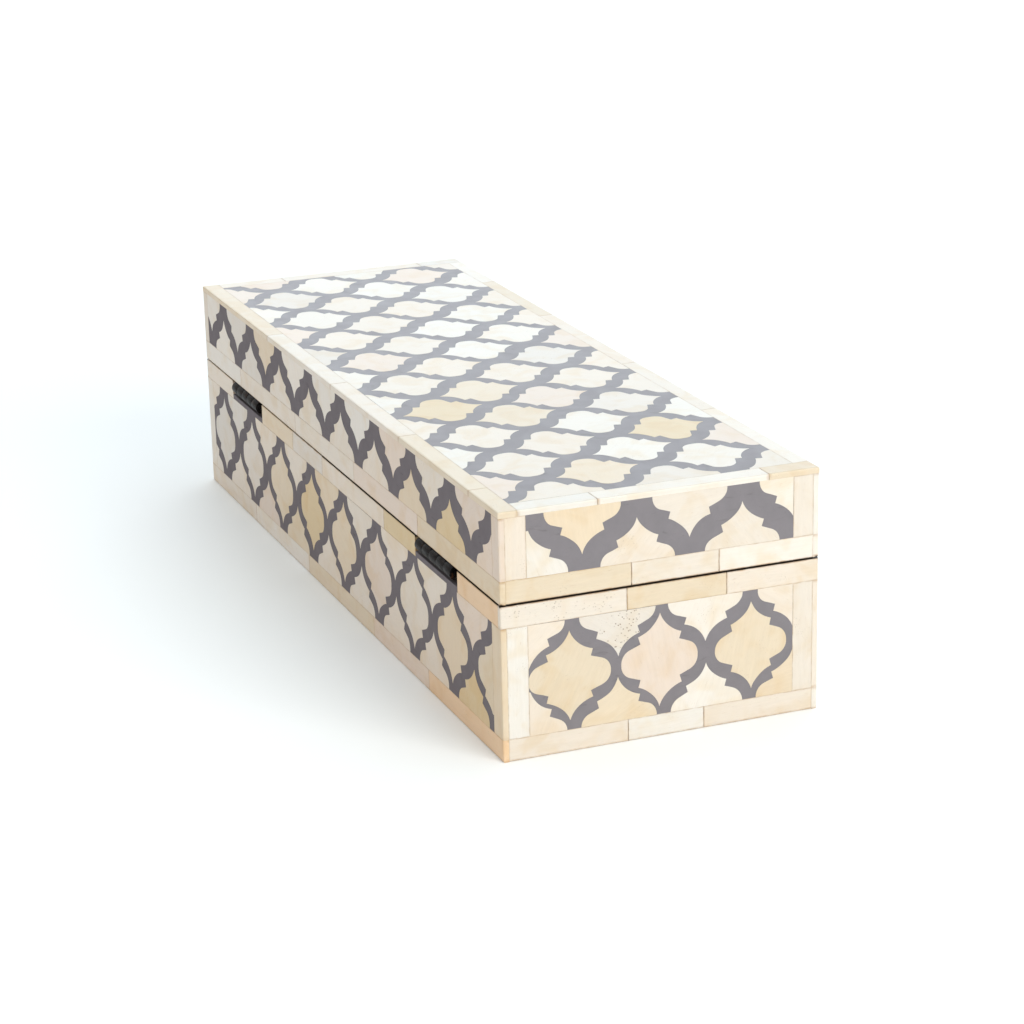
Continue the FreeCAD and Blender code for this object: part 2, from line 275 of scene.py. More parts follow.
class Side:
    """One inlaid side. Flat points on it are (right, up) as seen from outside."""

    def __init__(self, body, name):
        self.body = body
        self.name = name
        self.right, self.up = SIDE_AXES[name]
        self.out = self.right.cross(self.up)
        low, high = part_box(self.node("border"))
        self.level = max(low.dot(self.out), high.dot(self.out))
        self.thickness = abs((high - low).dot(self.out))

    def node(self, kind):
        return f"{self.body}_{self.name}_{kind}"

    def place(self, point, depth):
        """The place in the frame of a flat point, so far below the surface."""
        return point.x * self.right + point.y * self.up + (self.level - depth) * self.out

    def flat(self, place):
        return Vector((place.dot(self.right), place.dot(self.up)))

    def extent(self, kind):
        """Lowest and highest flat corners of a node on this side."""
        corners = [self.flat(corner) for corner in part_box(self.node(kind))]
        low = Vector([min(c[i] for c in corners) for i in (0, 1)])
        high = Vector([max(c[i] for c in corners) for i in (0, 1)])
        return low, high

    def outlines(self, kind):
        """The outer outline of every separate piece of a node, anticlockwise from its leftmost
        point. The pieces come from the lowest row up and from left to right."""
        bm = bmesh.new()
        bm.from_mesh(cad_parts[self.node(kind)].data)
        flush = 1e-6
        outer = [
            f for f in bm.faces if all(self.level - v.co.dot(self.out) < flush for v in f.verts)
        ]
        flush_faces = set(outer)
        follows = {}
        for face in outer:
            for loop in face.loops:
                if not any(f in flush_faces for f in loop.edge.link_faces if f is not face):
                    follows[loop.vert] = loop.link_loop_next.vert
        loops = []
        while follows:
            start, vert = follows.popitem()
            points = [self.flat(start.co)]
            while vert is not start:
                points.append(self.flat(vert.co))
                vert = follows.pop(vert)
            leftmost = min(range(len(points)), key=lambda i: tuple(points[i]))
            loops.append(points[leftmost:] + points[:leftmost])
        bm.free()
        return sorted(loops, key=lambda loop: (round(middle(loop).y / MM / 2), middle(loop).x))


def corner_reach(axis):
    """How far the box's upright corners lie from its middle along an axis."""
    return Side("base", "left" if abs(axis.x) > 0.5 else "front").level


def middle(points):
    """The middle of the points' extent."""
    return Vector([(min(p[i] for p in points) + max(p[i] for p in points)) / 2 for i in (0, 1)])


def turn_at(points, i):
    """How sharply an outline turns at a point."""
    before = points[i] - points[i - 1]
    after = points[(i + 1) % len(points)] - points[i]
    return before.angle(after, 0.0)


def without_crumbs(points, shortest):
    """The outline without the points that lie too close to the one before."""
    kept = []
    for point in points:
        if not kept or (point - kept[-1]).length > shortest:
            kept.append(point)
    if (kept[0] - kept[-1]).length <= shortest:
        kept.pop()
    return kept


def with_close_points(points, distance):
    """The outline with one more point close to each end of every long step."""
    result = []
    for i, a in enumerate(points):
        b = points[(i + 1) % len(points)]
        result.append(a)
        if (b - a).length > 3 * distance:
            along = (b - a).normalized() * distance
            result += [a + along, b - along]
    return result


def softened(points):
    """The outline with one new point in the middle of each step, on a smooth curve through
    its neighbours. Sharp corners and the ends of straight runs stay as they are."""
    corner = math.radians(28)
    long_step = 2.5 * MM
    count = len(points)
    long = [(points[i] - points[i - 1]).length > long_step for i in range(count)]
    sharp = [
        turn_at(points, i) > corner or long[i] or long[(i + 1) % count] for i in range(count)
    ]
    result = []
    for i in range(count):
        a, b = points[i], points[(i + 1) % count]
        before = points[i - 1] if not sharp[i] else a * 2 - b
        after = points[(i + 2) % count] if not sharp[(i + 1) % count] else b * 2 - a
        result += [a, (a + b) * 9 / 16 - (before + after) / 16]
    return result


def room_inside(points, directions):
    """How far each point can move in its direction before the outline is just as near on its
    other side: the size of the disc that touches the outline there and holds none of it."""
    start = np.array(points)
    way = np.array(directions)
    between = start[None, :, :] - start[:, None, :]
    ahead = (between * way[:, None, :]).sum(axis=2)
    barely_ahead = 1e-9
    radii = np.full_like(ahead, np.inf)
    np.divide((between**2).sum(axis=2), 2 * ahead, out=radii, where=ahead > barely_ahead)
    return radii.min(axis=1)


def inset(points, distances, share=1.0):
    """The outline moved inwards, each step by its own distance. A share below 1 keeps every
    point within that share of the room inside."""
    nearly_straight = 0.05
    longest_mitre = 1.7
    steps = []
    count = len(points)
    for i in range(count):
        into = (points[i] - points[i - 1]).normalized()
        away = (points[(i + 1) % count] - points[i]).normalized()
        n0, n1 = Vector((-into.y, into.x)), Vector((-away.y, away.x))
        d0, d1 = distances[i - 1], distances[i]
        cross = n0.x * n1.y - n0.y * n1.x
        if abs(cross) < nearly_straight:
            step = (n0 * d0 + n1 * d1) / 2
        else:
            step = Vector((d0 * n1.y - d1 * n0.y, d1 * n0.x - d0 * n1.x)) / cross
        longest = longest_mitre * max(d0, d1)
        if step.length > longest:
            step *= longest / step.length
        steps.append(step)
    if share < 1:
        rooms = room_inside(points, [step.normalized() for step in steps])
        steps = [s * min(1.0, share * room / s.length) for s, room in zip(steps, rooms)]
    return [point + step for point, step in zip(points, steps)]


def whole_size(outlines, field):
    """The size of a whole tile on a side where the border may cut every tile in half."""
    low, high = field
    size = Vector((0, 0))
    for i in (0, 1):
        uncut = [
            o
            for o in outlines
            if min(p[i] for p in o) > low[i] + ON_EDGE and max(p[i] for p in o) < high[i] - ON_EDGE
        ]
        spans = [max(p[i] for p in o) - min(p[i] for p in o) for o in uncut or outlines]
        size[i] = max(spans) * (1 if uncut else 2)
    return size


def whole_middle(points, field, whole):
    """The middle that a tile had before the border cut it."""
    centre = middle(points)
    for i in (0, 1):
        first, last = min(p[i] for p in points), max(p[i] for p in points)
        if first < field[0][i] + ON_EDGE:
            centre[i] = last - whole[i] / 2
        elif last > field[1][i] - ON_EDGE:
            centre[i] = first + whole[i] / 2
    return centre


def filled_out(points, centre, whole, fullness):
    """The outline with its flanks further out, and its tips and lobes where they were."""
    result = []
    for p in points:
        x, y = (p.x - centre.x) / whole.x, (p.y - centre.y) / whole.y
        slant = 2 * abs(x * y) / max(x * x + y * y, 1e-9)
        result.append(centre + (p - centre) * (1 + fullness * slant))
    return result


def hand_cut(side, number, points, field, whole, luck):
    """The outline of a tile as it was cut and set by hand, kept inside its field."""
    size = sizes()
    low, high = field
    key = f"{side.body}_{side.name}"
    cut = CUT_BY_HAND.get((side.node("tiles"), number), (0, 0, 1, 1))
    shift_x, shift_y, stretch_x, stretch_y = cut
    centre = middle(points)
    drift, fade = DRIFT.get(key, (0, 1))
    shift_x += drift * math.exp((low.x - centre.x) / MM / fade)
    shift = Vector((shift_x, shift_y)) * MM
    shift += Vector((luck.uniform(-1, 1), luck.uniform(-1, 1))) * size.set_error
    stretch = Matrix.Diagonal(
        (
            stretch_x * (1 + luck.uniform(-1, 1) * size.size_error),
            stretch_y * (1 + luck.uniform(-1, 1) * size.size_error),
        )
    )
    turn = Matrix.Rotation(luck.uniform(-1, 1) * size.turn_error, 2)
    lean = Matrix(((1, LEAN.get(key, 0)), (0, 1)))
    wander_pitch = 5.5 * MM
    seed = luck.uniform(0, 100)
    result = []
    overrun = 2 * MM + abs(drift) * MM
    full = filled_out(points, whole_middle(points, field, whole), whole, FULLNESS[key])
    for p, filled in zip(points, full):
        where = Vector((p.x / wander_pitch, p.y / wander_pitch, seed))
        wander = noise.noise_vector(where).xy * size.cut_error
        q = centre + turn @ lean @ stretch @ (filled - centre) + shift + wander
        for i in (0, 1):
            if p[i] - low[i] < ON_EDGE:
                q[i] = low[i] - overrun
            if high[i] - p[i] < ON_EDGE:
                q[i] = high[i] + overrun
        result.append(q)
    for i in (0, 1):
        result = trimmed(result, i, low[i], 1)
        result = trimmed(result, i, high[i], -1)
    return result


def trimmed(points, axis, bound, sign):
    """The outline, cut along a line across one axis. sign is 1 to keep what lies above it."""
    result = []
    for i, p in enumerate(points):
        before = points[i - 1]
        inside = sign * (p[axis] - bound) >= 0
        if inside != (sign * (before[axis] - bound) >= 0):
            share = (bound - before[axis]) / (p[axis] - before[axis])
            crossing = before.lerp(p, share)
            crossing[axis] = bound
            result.append(crossing)
        if inside:
            result.append(p)
    return result


def without_wedges(points, field):
    """The outline without the thin wedge that is left beyond a tip cut close to a side border."""
    near = 3 * MM
    low, high = field
    result = [p.copy() for p in points]
    for border in (low.x, high.x):
        if min(abs(p.x - border) for p in points) > ON_EDGE:
            continue
        for tip in (max(points, key=lambda p: p.y), min(points, key=lambda p: p.y)):
            reach = abs(tip.x - border)
            if reach > near or min(tip.y - low.y, high.y - tip.y) < ON_EDGE:
                continue
            for p in result:
                if abs(p.x - border) < reach and abs(p.y - tip.y) < near:
                    p.y = tip.y
    return result


def tile_outlines(side):
    """Every tile of a side as it was cut by hand, the same for the tiles and for the resin."""
    noise.seed_set(WANDER_SEED)
    field = side.extent("tiles")
    shortest = 0.12 * MM
    made = []
    planned = side.outlines("tiles")
    whole = whole_size(planned, field)
    for number, points in enumerate(planned):
        luck = random.Random(f"{side.body} {side.name} tile {number}")
        points = softened(without_crumbs(points, shortest))
        points = hand_cut(side, number, points, field, whole, luck)
        made.append(without_crumbs(without_wedges(points, field), shortest))
    return made


# ---------------------------------------------------------------- solid pieces


class InlayMesh:
    """Collects the pieces of one side in one mesh, with what each point's finish needs."""

    def __init__(self, side):
        self.side = side
        self.bm = bmesh.new()
        self.tone = self.bm.verts.layers.float_color.new("tone")
        self.grain = self.bm.verts.layers.float_vector.new("grain")
        self.stain = self.bm.verts.layers.float.new("stain")
        self.pits = self.bm.verts.layers.float.new("pits")

    def add_piece(self, points, edges, stain_and_shade_levels, tone, grain_turn, luck, pits=0.0, band=False):
        """A flat piece with rounded upper edges. The edges and the levels after them are the
        rounding and the staining of each step of the outline; beside the seam between base and lid
        the level paints shade, with some dirt. A band carries the staining and shade a little way
        in."""
        count = len(points)
        corner_edges = [max(edges[i - 1], edges[i]) for i in range(count)]
        corner_stain_and_shade = [max(stain_and_shade_levels[i - 1], stain_and_shade_levels[i]) for i in range(count)]
        half = 1 - math.cos(math.radians(45))
        half_edges = [e * half for e in edges]
        room_share = 0.6
        clear = [0.0] * count
        if band:
            halfway = inset(points, half_edges)
            unstained = inset(points, [e + sizes().stain_width for e in edges])
            upper_rings = [
                (inset(points, edges), clear, [s * STAIN_AND_SHADE_ABOVE for s in corner_stain_and_shade]),
                (unstained, clear, clear),
            ]
        else:
            halfway = inset(points, half_edges, room_share * half)
            upper_rings = [(inset(points, edges, room_share), clear, clear)]
        half_depths = [e * half for e in corner_edges]
        rings = [
            (points, [self.side.thickness] * count, [min(s, FLANK_STAIN) for s in corner_stain_and_shade]),
            (points, corner_edges, corner_stain_and_shade),
            (halfway, half_depths, [s * STAIN_AND_SHADE_HALFWAY for s in corner_stain_and_shade]),
            *upper_rings,
        ]
        turn = Matrix.Rotation(grain_turn, 2)
        offset = Vector([luck.uniform(-500, 500) for _ in range(3)])
        made = []
        for flat_points, depths, ring_stain_and_shade in rings:
            ring = []
            for p, depth, stain in zip(flat_points, depths, ring_stain_and_shade):
                vert = self.bm.verts.new(self.side.place(p, depth))
                along = turn @ p
                vert[self.tone] = (*tone, 1.0)
                vert[self.grain] = Vector((along.x, along.y, depth)) / MM + offset
                vert[self.stain] = stain
                vert[self.pits] = pits
                ring.append(vert)
            made.append(ring)
        for lower, upper in zip(made, made[1:]):
            for i in range(count):
                j = (i + 1) % count
                self.bm.faces.new((lower[i], lower[j], upper[j], upper[i]))
        self.bm.faces.new(made[-1])
        self.bm.faces.new(reversed(made[0]))

    def finish(self, kind, slot, material):
        """Makes the mesh an object that stands for its node and rides on its body."""
        node = self.side.node(kind)
        bmesh.ops.recalc_face_normals(self.bm, faces=self.bm.faces)
        mesh = bpy.data.meshes.new(f"{node}_inlay")
        self.bm.to_mesh(mesh)
        self.bm.free()
        mesh.materials.append(material)
        piece = bpy.data.objects.new(f"{node}_inlay", mesh)
        bpy.context.collection.objects.link(piece)
        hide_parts(node)
        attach(piece, self.side.body)
        return piece


def pick_tone(node, number, luck):
    """The colour of one piece of bone: the picked tone or a random one, a little varied."""
    random_name = luck.choices(list(TONE_SHARES), TONE_SHARES.values())[0]
    name = PICKED_TONES.get(node, {}).get(number, random_name)
    paler = 1 + luck.uniform(-0.03, 0.01)
    warmer = luck.uniform(-0.015, 0.015)
    red, green, blue = getattr(colours(), name)
    return red * paler * (1 + warmer), green * paler, blue * paler * (1 - warmer)


def build_tiles(body, name, material):
    """All bone tiles of one side."""
    side = Side(body, name)
    inlay = InlayMesh(side)
    low, high = side.extent("tiles")
    for number, points in enumerate(tile_outlines(side)):
        luck = random.Random(f"{body} {name} finish {number}")
        stain_and_shade_levels = []
        for i, p in enumerate(points):
            q = points[(i + 1) % len(points)]
            beside_strip = any(
                abs(p[k] - bound[k]) < ON_EDGE and abs(q[k] - bound[k]) < ON_EDGE
                for bound in (low, high)
                for k in (0, 1)
            )
            stain_and_shade_levels.append(JOINT_STAIN if beside_strip else TILE_STAIN)
        edges = [sizes().tile_edge] * len(points)
        tone = pick_tone(side.node("tiles"), number, luck)
        pits = PITTED.get((side.node("tiles"), number), 0.0)
        inlay.add_piece(points, edges, stain_and_shade_levels, tone, luck.uniform(0, math.pi), luck, pits)
    return inlay.finish("tiles", "bone_tiles", material)


def build_strips(body, name, material):
    """All bone strips of one side, with their outer edges worn round."""
    side = Side(body, name)
    inlay = InlayMesh(side)
    size = sizes()
    low, high = side.extent("border")
    reach = corner_reach(side.right)
    for number, points in enumerate(side.outlines("border")):
        luck = random.Random(f"{body} {name} strip {number}")
        points = with_close_points(points, 1.0 * MM)
        edges, stain_and_shade_levels = [], []
        for i, p in enumerate(points):
            q = points[(i + 1) % len(points)]
            at_corner = all(abs(abs(end.x) - reach) < ON_EDGE for end in (p, q))
            at_bottom = all(abs(end.y - low.y) < ON_EDGE for end in (p, q))
            at_top = all(abs(end.y - high.y) < ON_EDGE for end in (p, q))
            edge, stain = size.joint_edge, JOINT_STAIN
            if at_corner or name == "top" and (at_bottom or at_top):
                edge, stain = size.box_edge, WORN_STAIN
            elif body == "base" and at_bottom:
                edge, stain = size.box_edge, FOOT_STAIN
            # Beside the seam between base and lid the strips get painted shade, with some dirt
            elif body == "base" and at_top or body == "lid" and at_bottom:
                far_back = name == "back" and middle(points).x < 0
                edge, stain = size.seam_edge, FAR_SEAM_SHADE_AND_STAIN if far_back else SEAM_SHADE_AND_STAIN
            edges.append(edge)
            stain_and_shade_levels.append(stain)
        span = max(points, key=lambda p: p.x).x - min(points, key=lambda p: p.x).x
        rise = max(points, key=lambda p: p.y).y - min(points, key=lambda p: p.y).y
        grain_turn = (0 if span > rise else math.pi / 2) + luck.uniform(-0.05, 0.05)
        tone = pick_tone(side.node("border"), number, luck)
        pits = PITTED.get((side.node("border"), number), 0.0)
        inlay.add_piece(points, edges, stain_and_shade_levels, tone, grain_turn, luck, pits, band=True)
    return inlay.finish("border", "bone_strips", material)


def resin_faces(field, holes):
    """Flat triangles that fill a field round its tiles."""
    low, high = field
    frame_points = [low, Vector((high.x, low.y)), high, Vector((low.x, high.y))]
    points = [p / MM for p in frame_points]
    faces = [list(range(4))]
    for hole in holes:
        faces.append(list(range(len(points), len(points) + len(hole))))
        points += [p / MM for p in hole]
    only_inside, nearness = 1, 1e-4
    verts, _, triangles, _, _, origins = geometry.delaunay_2d_cdt(
        points, [], faces, only_inside, nearness
    )
    kept = [t for t, origin in zip(triangles, origins) if list(origin) == [0]]
    return [v * MM for v in verts], kept


def build_resin(body, name, material):
    """The resin ground of one side, poured round its tiles and a hair below them."""
    side = Side(body, name)
    inlay = InlayMesh(side)
    bm = inlay.bm
    drop = sizes().resin_drop
    field = side.extent("tiles")
    flat_points, triangles = resin_faces(field, tile_outlines(side))
    used = sorted({i for t in triangles for i in t})
    top = {i: bm.verts.new(side.place(flat_points[i], drop)) for i in used}
    faces = [bm.faces.new([top[i] for i in t]) for t in triangles]
    for outline in side.outlines("resin"):
        if min(p.y for p in outline) > field[1].y - drop:
            faces.append(bm.faces.new([bm.verts.new(side.place(p, drop)) for p in outline]))
    made = bmesh.ops.extrude_face_region(bm, geom=faces)["geom"]
    lowered = [g for g in made if isinstance(g, bmesh.types.BMVert)]
    bmesh.ops.translate(bm, verts=lowered, vec=side.out * (drop - side.thickness))
    for vert in bm.verts:
        vert[inlay.grain] = vert.co / MM
    return inlay.finish("resin", "resin_ground", material)


def softened_copy(node, body, edge, material, segments=2):
    """A CAD node's shape with its sharp edges rounded, standing for the node."""
    same_place = 1e-6
    same_plane = math.radians(0.5)
    rounded_from, creased_from = math.radians(35), math.radians(40)
    bm = bmesh.new()
    bm.from_mesh(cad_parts[node].data)
    bmesh.ops.remove_doubles(bm, verts=bm.verts, dist=same_place)
    bmesh.ops.dissolve_limit(bm, angle_limit=same_plane, verts=bm.verts, edges=bm.edges)
    sharp = [e for e in bm.edges if e.is_manifold and e.calc_face_angle(0.0) > rounded_from]
    bmesh.ops.bevel(
        bm,
        geom=sharp,
        offset=edge,
        segments=segments,
        profile=0.5,
        affect="EDGES",
        clamp_overlap=True,
    )
    bmesh.ops.recalc_face_normals(bm, faces=bm.faces)
    for face in bm.faces:
        face.smooth = True
    mesh = bpy.data.meshes.new(f"{node}_finished")
    bm.to_mesh(mesh)
    bm.free()
    mesh.set_sharp_from_angle(angle=creased_from)
    mesh.materials.append(material)
    piece = bpy.data.objects.new(f"{node}_finished", mesh)
    bpy.context.collection.objects.link(piece)
    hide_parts(node)
    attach(piece, body)
    return piece


# ---------------------------------------------------------------- finishes


class Finish:
    """A node material, built step by step."""

    def __init__(self, name):
        self.material = bpy.data.materials.new(name)
        self.material.use_nodes = True
        self.tree = self.material.node_tree
        self.shader = self.tree.nodes["Principled BSDF"]

    def node(self, kind, inputs=None, **settings):
        made = self.tree.nodes.new(f"ShaderNode{kind}")
        for key, value in settings.items():
            setattr(made, key, value)
        for key, value in (inputs or {}).items():
            self.put(made.inputs[key], value)
        return made

    def put(self, socket, value):
        """Links a socket to another, or sets its value."""
        if isinstance(value, bpy.types.NodeSocket):
            self.tree.links.new(value, socket)
        else:
            socket.default_value = value

    def shade(self, **inputs):
        """Sets the shader's own sockets, named with _ for a space."""
        for key, value in inputs.items():
            self.put(self.shader.inputs[key.replace("_", " ")], value)

    def attribute(self, name, output):
        return self.node("Attribute", attribute_name=name).outputs[output]

    def stretched(self, vector, scale, shift=(0, 0, 0)):
        return self.node(
            "Mapping", {"Vector": vector, "Scale": scale, "Location": shift}
        ).outputs["Vector"]

    def noise(self, vector, scale, detail=3.0, roughness=0.5, distortion=0.0):
        return self.node(
            "TexNoise",
            {
                "Vector": vector,
                "Scale": scale,
                "Detail": detail,
                "Roughness": roughness,
                "Distortion": distortion,
            },
        ).outputs["Fac"]

    def cells(self, vector, scale):
        return self.node("TexVoronoi", {"Vector": vector, "Scale": scale}).outputs["Distance"]

    def span(self, value, low, high, to_low=0.0, to_high=1.0, smooth=False):
        """The value, spread from low and high to to_low and to_high and held there."""
        return self.node(
            "MapRange",
            {
                "Value": value,
                "From Min": low,
                "From Max": high,
                "To Min": to_low,
                "To Max": to_high,
            },
            interpolation_type="SMOOTHSTEP" if smooth else "LINEAR",
        ).outputs["Result"]

    def math(self, operation, a, b=0.0):
        return self.node("Math", {0: a, 1: b}, operation=operation).outputs[0]

    def mix(self, factor, a, b, blend="MIX"):
        """A colour between a and b."""
        made = self.node("Mix", data_type="RGBA", blend_type=blend)
        for socket, value in ((made.inputs[0], factor), (made.inputs[6], a), (made.inputs[7], b)):
            if isinstance(value, (tuple, list, Color)):
                value = (*value[:3], 1.0)
            self.put(socket, value)
        return made.outputs[2]

    def tint(self, colour, amount):
        """The colour, made lighter or darker by a number."""
        grey = self.node("CombineColor", {0: amount, 1: amount, 2: amount}).outputs[0]
        return self.mix(1.0, colour, grey, "MULTIPLY")

    def bump(self, height, distance, strength=1.0):
        return self.node(
            "Bump", {"Height": height, "Distance": distance, "Strength": strength}
        ).outputs["Normal"]


def bone_finish(name):
    """Polished bone: warm clouds, long fibres, clustered pores, staining along the joints, and
    painted shade with some dirt in the seam between base and lid.
    """
    colour = colours()
    f = Finish(f"polished_bone_{name}")
    grain = f.attribute("grain", "Vector")
    tone = f.attribute("tone", "Color")
    stain = f.attribute("stain", "Fac")
    clouds = f.noise(grain, 0.10, 2.0, 0.55, 0.6)
    fibres = f.noise(f.stretched(grain, (0.10, 1.1, 1.1)), 1.0, 4.0, 0.6, 0.25)
    hairs = f.noise(f.stretched(grain, (0.55, 8.0, 8.0)), 1.0, 2.0, 0.5)
    base = f.mix(f.span(clouds, 0.42, 0.75, 0.0, 0.6, True), tone, colour.bone_cloud, "MULTIPLY")
    base = f.tint(base, f.span(fibres, 0.25, 0.75, 0.955, 1.02))
    base = f.tint(base, f.span(hairs, 0.3, 0.7, 0.98, 1.01))
    flecks = f.noise(f.stretched(grain, (0.45, 5.0, 5.0)), 1.0, 1.0)
    base = f.mix(f.span(flecks, 0.70, 0.78, 0.0, 0.28), base, colour.joint_stain)
    pores = f.cells(f.stretched(grain, (1.1, 3.2, 3.2)), 1.0)
    pores = f.span(pores, 0.10, 0.20, 1.0, 0.0, True)
    clusters = f.span(f.noise(grain, 0.13, 2.0, 0.5), 0.60, 0.70)
    pores = f.math("MULTIPLY", pores, clusters)
    base = f.mix(f.math("MULTIPLY", pores, 0.65), base, colour.bone_pore)
    pits = f.span(f.cells(f.stretched(grain, (1.0, 1.3, 1.3)), 1.0), 0.14, 0.30, 1.0, 0.0)
    pitted = f.span(f.noise(grain, 0.17, 1.0), 0.53, 0.62)
    pits = f.math("MULTIPLY", pits, f.math("MULTIPLY", pitted, f.attribute("pits", "Fac")))
    base = f.mix(pits, base, colour.bone_pore)
    patchy = f.span(f.noise(grain, 0.35, 3.0, 0.6), 0.35, 0.62, 0.12, 0.75)
    stained = f.math("MULTIPLY", f.span(stain, 0.05, 0.9), patchy)
    base = f.mix(stained, base, colour.joint_stain)
    # Painted shade, with some dirt, in the seam between base and lid: near black past level 1
    base = f.mix(f.span(stain, 0.95, 1.6), base, colour.seam_shade_and_dirt)
    relief = f.math("ADD", f.math("MULTIPLY", hairs, 0.25), f.math("MULTIPLY", fibres, 0.5))
    relief = f.math("SUBTRACT", relief, f.math("MULTIPLY", pores, 1.2))
    f.shade(
        Base_Color=base,
        Roughness=f.span(fibres, 0.2, 0.8, 0.27, 0.40),
        Normal=f.bump(relief, 0.035 * MM, 0.8),
        IOR=1.54,
        Specular_IOR_Level=GLOSS[name][0],
        Subsurface_Weight=0.06,
        Subsurface_Scale=0.6 * MM,
        Subsurface_Radius=(1.0, 0.7, 0.45),
    )
    return f.material


def resin_finish(name):
    """Filled grey resin, sanded flush: soft mottling, dark streaks, pinholes and sanding marks."""
    colour = colours()
    f = Finish(f"polished_resin_{name}")
    place = f.attribute("grain", "Vector")
    mottle = f.noise(place, 0.22, 4.0, 0.6)
    base = f.tint(colour.resin, f.span(mottle, 0.3, 0.7, 0.94, 1.05))
    streaks = f.noise(f.stretched(place, (0.12, 0.12, 0.5)), 1.0, 3.0, 0.6, 1.2)
    base = f.mix(f.span(streaks, 0.62, 0.74, 0.0, 0.5), base, colour.resin_dark)
    pinholes = f.span(f.cells(place, 0.75), 0.05, 0.10, 1.0, 0.0)
    few = f.span(f.noise(place, 0.2, 1.0), 0.55, 0.62)
    pinholes = f.math("MULTIPLY", pinholes, few)
    base = f.mix(f.math("MULTIPLY", pinholes, 0.5), base, colour.resin_dark)
    marks = f.noise(f.stretched(place, (0.4, 2.6, 5.0)), 1.0, 2.0)
    relief = f.math("SUBTRACT", f.math("MULTIPLY", marks, 0.4), pinholes)
    f.shade(
        Base_Color=base,
        Roughness=f.span(mottle, 0.3, 0.7, 0.30, 0.42),
        Normal=f.bump(relief, 0.03 * MM, 0.7),
        IOR=1.52,
        Specular_IOR_Level=GLOSS[name][1],
    )
    return f.material


def wood_finish(name, along, shift):
    """Oiled hardwood whose grain runs along one axis of the box."""
    colour = colours()
    f = Finish(f"oiled_wood_{name}")
    place = f.node("TexCoord").outputs["Object"]

    def scaled(lengthwise, across):
        scale = [lengthwise if axis == along else across for axis in "xyz"]
        return f.stretched(place, scale, shift)

    rings = f.noise(scaled(6.0, 60.0), 1.0, 4.0, 0.55, 1.6)
    bands = f.span(f.math("FRACT", f.math("MULTIPLY", rings, 6.0)), 0.0, 1.0, 0.0, 1.0, True)
    pores = f.span(f.noise(scaled(120.0, 2200.0), 1.0, 2.0), 0.62, 0.72)
    fibres = f.noise(scaled(25.0, 900.0), 1.0, 3.0)
    base = f.mix(f.span(bands, 0.0, 1.0, 0.12, 0.62), colour.wood_light, colour.wood_dark)
    base = f.tint(base, f.span(fibres, 0.3, 0.7, 0.86, 1.10))
    base = f.mix(f.math("MULTIPLY", pores, 0.6), base, colour.wood_dark)
    relief = f.math("SUBTRACT", f.math("MULTIPLY", fibres, 0.5), pores)
    f.shade(
        Base_Color=base,
        Roughness=f.span(fibres, 0.3, 0.7, 0.42, 0.58),
        Normal=f.bump(relief, 0.06 * MM, 0.8),
        IOR=1.5,
    )
    return f.material


def mortise_shade_finish():
    """Painted shade for the hinge mortises: near-black wood, mottled, dull and a little rough."""
    colour = colours()
    f = Finish("mortise_dirt")
    place = f.node("TexCoord").outputs["Object"]
    shade_mottle = f.noise(place, 900.0, 4.0, 0.65)
    f.shade(
        Base_Color=f.mix(f.span(shade_mottle, 0.5, 0.75, 0.0, 0.4), colour.wood_dirt, colour.wood_dark),
        Roughness=0.85,
        Normal=f.bump(shade_mottle, 0.1 * MM, 0.8),
    )
    return f.material


def iron_finish():
    """Blackened iron, rubbed bright in patches, with a little rust and fine scratches."""
    colour = colours()
    f = Finish("blackened_iron")
    place = f.node("TexCoord").outputs["Object"]
    patches = f.noise(place, 420.0, 5.0, 0.65)
    scratches = f.noise(f.stretched(place, (300.0, 4200.0, 4200.0)), 1.0, 3.0, 0.6)
    worn = f.math("MULTIPLY", f.span(patches, 0.5, 0.72), f.span(scratches, 0.45, 0.65))
    base = f.mix(worn, colour.iron, colour.iron_worn)
    rust = f.span(f.noise(place, 650.0, 4.0, 0.7), 0.58, 0.70, 0.0, 0.55)
    base = f.mix(rust, base, colour.rust)
    relief = f.math("ADD", f.math("MULTIPLY", patches, 0.6), f.math("MULTIPLY", scratches, 0.4))
    f.shade(
        Base_Color=base,
        Metallic=0.5,
        Roughness=f.span(patches, 0.3, 0.7, 0.40, 0.62),
        Specular_IOR_Level=0.15,
        Normal=f.bump(relief, 0.05 * MM, 0.8),
    )
    return f.material


def screw_finish():
    """Dulled steel with turning marks and dark tarnish."""
    colour = colours()
    f = Finish("dulled_steel")
    place = f.node("TexCoord").outputs["Object"]
    tarnish = f.noise(place, 900.0, 4.0, 0.6)
    marks = f.noise(f.stretched(place, (3000.0, 500.0, 3000.0)), 1.0, 2.0)
    base = f.mix(f.span(tarnish, 0.42, 0.62, 0.0, 0.7), colour.screw, colour.iron)
    f.shade(
        Base_Color=base,
        Metallic=0.9,
        Roughness=f.span(marks, 0.3, 0.7, 0.28, 0.46),
        Normal=f.bump(marks, 0.02 * MM, 0.6),
    )
    return f.material


# ---------------------------------------------------------------- operators


class InlaidBoxOperator(bpy.types.Operator):
    """What every step shares."""

    bl_options = {"REGISTER", "UNDO"}


def build_sides(build, finish):
    """Builds one kind of piece on every side, each side with its own gloss."""
    materials = {name: finish(name) for name in SIDE_AXES}
    for body, name in SIDES:
        build(body, name, materials[name])


class INLAIDBOX_OT_bone_tiles(InlaidBoxOperator):
    """Cut and set the bone tiles of every side"""

    bl_idname = "inlaid_box.bone_tiles"
    bl_label = "Bone Tiles"

    def execute(self, context):
        build_sides(build_tiles, bone_finish)
        return {"FINISHED"}


